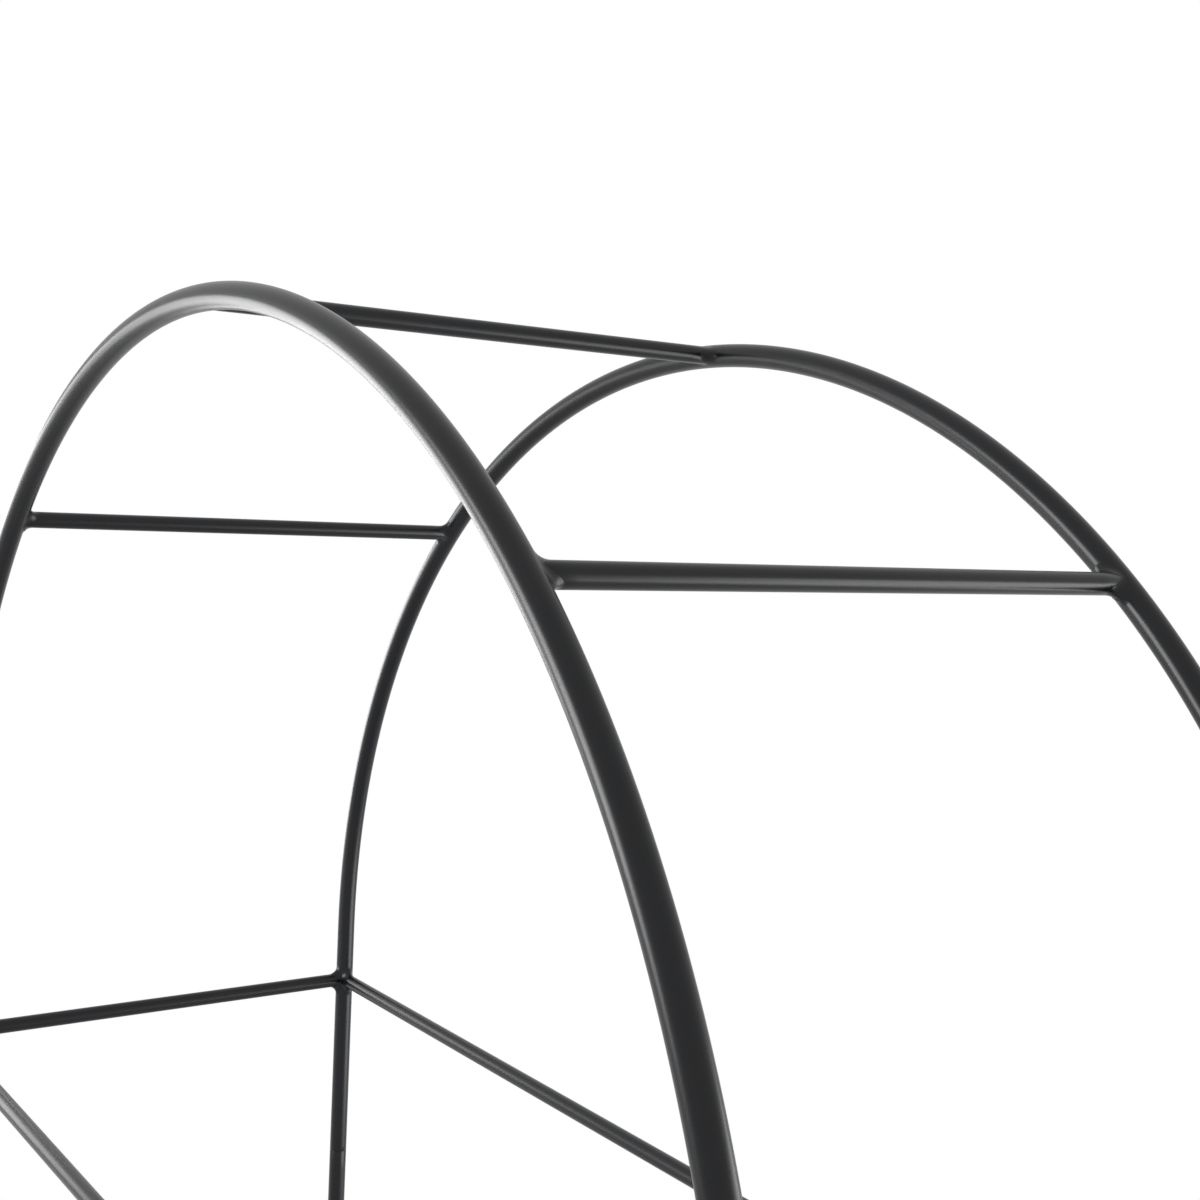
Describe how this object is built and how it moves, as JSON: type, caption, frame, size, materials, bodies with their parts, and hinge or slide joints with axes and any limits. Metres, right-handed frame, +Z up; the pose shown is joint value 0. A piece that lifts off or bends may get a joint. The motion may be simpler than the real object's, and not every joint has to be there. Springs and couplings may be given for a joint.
{
  "type": "garden arch",
  "caption": "Round-topped garden trellis arch: two tube hoops on legs, held apart by welded rungs and a level rectangle of ties, on foot plates.",
  "frame": {"origin": "on the ground, in the middle between the four foot plates", "axes": "+Z up, +X across the walkway to the right side, +Y from the front hoop to the back hoop"},
  "size_m": [1.28, 0.505, 2.559],
  "materials": {
    "powder_coat": "satin black powder coat with a faint orange peel",
    "weld_coat": "the same powder coat over smooth weld beads",
    "screw_black": "black screws, satin",
    "zinc_steel": "bright zinc plate, hidden inside the tubes"
  },
  "bodies": {
    "root": {"back_crown_weld": "weld_coat", "back_hoop": "powder_coat", "back_left_corner_welds": "weld_coat", "back_left_foot_plate": "powder_coat", "back_left_ladder_weld_1": "weld_coat", "back_left_ladder_weld_2": "weld_coat", "back_left_ladder_weld_3": "weld_coat", "back_left_leg": "powder_coat", "back_left_shoulder_weld": "weld_coat", "back_left_spigot": "zinc_steel", "back_right_corner_welds": "weld_coat", "back_right_foot_plate": "powder_coat", "back_right_ladder_weld_1": "weld_coat", "back_right_ladder_weld_2": "weld_coat", "back_right_ladder_weld_3": "weld_coat", "back_right_leg": "powder_coat", "back_right_shoulder_weld": "weld_coat", "back_right_spigot": "zinc_steel", "back_tie": "powder_coat", "crown_rung": "powder_coat", "foot_welds": "weld_coat", "front_crown_weld": "weld_coat", "front_hoop": "powder_coat", "front_left_corner_welds": "weld_coat", "front_left_foot_plate": "powder_coat", "front_left_ladder_weld_1": "weld_coat", "front_left_ladder_weld_2": "weld_coat", "front_left_ladder_weld_3": "weld_coat", "front_left_leg": "powder_coat", "front_left_shoulder_weld": "weld_coat", "front_left_spigot": "zinc_steel", "front_right_corner_welds": "weld_coat", "front_right_foot_plate": "powder_coat", "front_right_ladder_weld_1": "weld_coat", "front_right_ladder_weld_2": "weld_coat", "front_right_ladder_weld_3": "weld_coat", "front_right_leg": "powder_coat", "front_right_shoulder_weld": "weld_coat", "front_right_spigot": "zinc_steel", "front_tie": "powder_coat", "joint_nuts": "zinc_steel", "joint_screws": "screw_black", "left_ladder_rung_1": "powder_coat", "left_ladder_rung_2": "powder_coat", "left_ladder_rung_3": "powder_coat", "left_shoulder_rung": "powder_coat", "left_side_rail": "powder_coat", "right_ladder_rung_1": "powder_coat", "right_ladder_rung_2": "powder_coat", "right_ladder_rung_3": "powder_coat", "right_shoulder_rung": "powder_coat", "right_side_rail": "powder_coat"}
  },
  "joints": []
}
